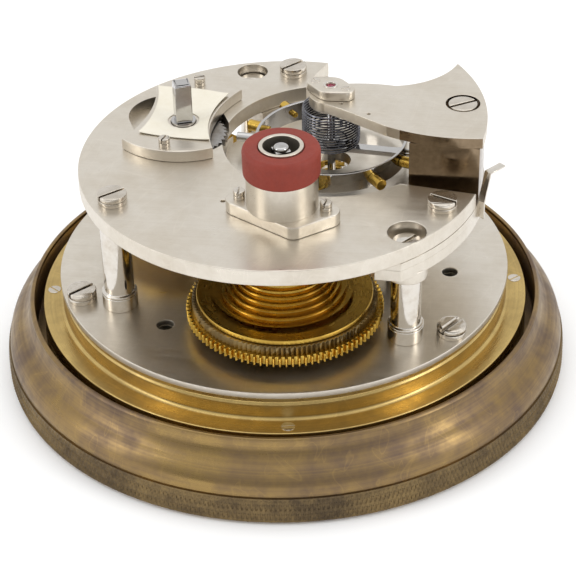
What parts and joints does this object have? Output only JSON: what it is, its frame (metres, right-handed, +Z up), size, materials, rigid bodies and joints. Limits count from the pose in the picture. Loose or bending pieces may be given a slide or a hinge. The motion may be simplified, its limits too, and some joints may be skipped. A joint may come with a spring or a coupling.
{
  "type": "marine chronometer",
  "caption": "Box chronometer movement lying dial down in its knurled bezel: fusee, chain, train, spring detent escapement and balance under a cock.",
  "frame": {"origin": "centre arbor's axis, level with the lowest face of the bezel", "axes": "+Z up, from the dial side to the balance side; -Y towards twelve o'clock and the winding hub; +X towards three o'clock"},
  "size_m": [0.13, 0.13, 0.0693],
  "materials": {
    "aged_brass": "aged, half polished",
    "gilt_brass": "gilt, fine frosted",
    "nickel_plate": "nickel plated, brushed and lacquered",
    "bright_nickel": "nickel plated, polished",
    "polished_steel": "hardened steel, polished",
    "grey_steel": "tempered steel, fine brushed",
    "blued_steel": "blued",
    "screw_steel": "polished heads",
    "rubber_red": "matt, a little worn",
    "ruby": "polished ruby",
    "glass": "clear, flat",
    "dial_white": "silvered, matt",
    "paper": "aged paper"
  },
  "bodies": {
    "movement_frame": {"bezel": "aged_brass", "crystal": "glass", "crystal_ring": "aged_brass", "sight_ring": "aged_brass", "seating_ring": "aged_brass", "seating_ring_screws": "aged_brass", "dial": "dial_white", "pillar_plate": "nickel_plate", "pillar_plate_screws": "screw_steel", "pillars": "bright_nickel", "frame_screws": "screw_steel", "train_bridge": "nickel_plate", "bridge_pillar_screws": "screw_steel", "top_plate": "nickel_plate", "top_plate_screws": "screw_steel", "lower_balance_bridge": "nickel_plate", "third_wheel_cock": "nickel_plate", "jewels": "ruby", "balance_cock": "nickel_plate", "cock_screws": "screw_steel", "jewel_cap": "bright_nickel", "hairspring_stud": "gilt_brass", "barrel_bridge": "nickel_plate", "small_raised_screws": "screw_steel", "paper_tag": "paper", "winding_hub": "nickel_plate", "hub_gasket": "rubber_red", "contact_spring": "grey_steel", "click_pins": "polished_steel", "chain_run": "grey_steel", "detent_foot": "gilt_brass"},
    "great": {"great_wheel": "gilt_brass", "maintaining_ratchet": "grey_steel"},
    "fusee": {"fusee_cone": "gilt_brass", "fusee_arbor": "polished_steel"},
    "maintaining_detent": {"maintaining_detent": "grey_steel"},
    "barrel": {"barrel": "gilt_brass", "barrel_cap": "gilt_brass", "chain_on_barrel": "grey_steel", "mainspring": "blued_steel"},
    "setup": {"barrel_arbor": "polished_steel", "setup_ratchet": "grey_steel"},
    "setup_click": {"setup_click": "grey_steel"},
    "centre": {"centre_arbor": "polished_steel", "centre_wheel": "gilt_brass", "cannon_pinion": "polished_steel", "minute_hand": "blued_steel"},
    "minute": {"minute_wheel": "gilt_brass"},
    "hour": {"hour_wheel": "gilt_brass", "hour_hand": "blued_steel"},
    "third": {"third_wheel": "gilt_brass"},
    "fourth": {"fourth_wheel": "gilt_brass", "seconds_hand": "blued_steel"},
    "escape": {"escape_wheel": "gilt_brass"},
    "detent": {"detent": "polished_steel"},
    "balance": {"balance_wheel": "polished_steel", "balance_weights": "gilt_brass", "balance_staff": "polished_steel", "hairspring": "blued_steel"},
    "updown": {"updown_wheel": "gilt_brass"}
  },
  "joints": [
    {"name": "fourth_turn", "type": "hinge", "parent": "movement_frame", "child": "fourth", "pos_m": [0, 0.024, 0], "axis": [0, 0, 1], "continuous": true},
    {"name": "third_turn", "type": "hinge", "parent": "movement_frame", "child": "third", "pos_m": [-0.0066, 0.0138, 0], "axis": [0, 0, 1], "continuous": true},
    {"name": "centre_turn", "type": "hinge", "parent": "movement_frame", "child": "centre", "pos_m": [0, 0, 0], "axis": [0, 0, 1], "continuous": true},
    {"name": "great_turn", "type": "hinge", "parent": "movement_frame", "child": "great", "pos_m": [0, -0.024, 0], "axis": [0, 0, 1], "continuous": true},
    {"name": "escape_turn", "type": "hinge", "parent": "movement_frame", "child": "escape", "pos_m": [0.00874, 0.01692, 0], "axis": [0, 0, 1], "continuous": true},
    {"name": "minute_wheel_turn", "type": "hinge", "parent": "movement_frame", "child": "minute", "pos_m": [-0.0077, 0, 0], "axis": [0, 0, 1], "continuous": true},
    {"name": "hour_turn", "type": "hinge", "parent": "movement_frame", "child": "hour", "pos_m": [0, 0, 0], "axis": [0, 0, 1], "continuous": true},
    {"name": "fusee_turn", "type": "hinge", "parent": "movement_frame", "child": "fusee", "pos_m": [0, -0.024, 0], "axis": [0, 0, 1], "range_deg": [-2520, 0]},
    {"name": "barrel_turn", "type": "hinge", "parent": "movement_frame", "child": "barrel", "pos_m": [-0.022, 0.0126, 0], "axis": [0, 0, 1], "range_deg": [-1740, 0]},
    {"name": "updown_turn", "type": "hinge", "parent": "movement_frame", "child": "updown", "pos_m": [0, -0.0168, 0], "axis": [0, 0, 1], "range_deg": [0, 315]},
    {"name": "setup_turn", "type": "hinge", "parent": "movement_frame", "child": "setup", "pos_m": [-0.022, 0.0126, 0], "axis": [0, 0, 1], "range_deg": [0, 270]},
    {"name": "setup_click_swing", "type": "hinge", "parent": "movement_frame", "child": "setup_click", "pos_m": [-0.0174, 0.025, 0], "axis": [0, 0, 1], "range_deg": [-3, 8.5]},
    {"name": "maintaining_detent_swing", "type": "hinge", "parent": "movement_frame", "child": "maintaining_detent", "pos_m": [0.025, -0.009, 0], "axis": [0, 0, 1], "range_deg": [-6, 3.6]},
    {"name": "detent_flex", "type": "hinge", "parent": "movement_frame", "child": "detent", "pos_m": [0.0178, 0.02282, 0], "axis": [0, 0, 1], "range_deg": [0, 3], "stiffness_Nm_per_rad": 0.002},
    {"name": "balance_swing", "type": "hinge", "parent": "movement_frame", "child": "balance", "pos_m": [0.0114, 0.0079, 0], "axis": [0, 0, 1], "range_deg": [-225, 225], "stiffness_Nm_per_rad": 0.0001}
  ],
  "couplings": [
    {"joint": "third_turn", "follows": "fourth_turn", "ratio": -0.125},
    {"joint": "centre_turn", "follows": "fourth_turn", "ratio": 0.016667},
    {"joint": "great_turn", "follows": "fourth_turn", "ratio": -0.0020833},
    {"joint": "escape_turn", "follows": "fourth_turn", "ratio": -8},
    {"joint": "minute_wheel_turn", "follows": "fourth_turn", "ratio": -0.0055556},
    {"joint": "hour_turn", "follows": "fourth_turn", "ratio": 0.0013889},
    {"joint": "barrel_turn", "follows": "fusee_turn", "ratio": 0.69},
    {"joint": "updown_turn", "follows": "fusee_turn", "ratio": -0.125}
  ]
}
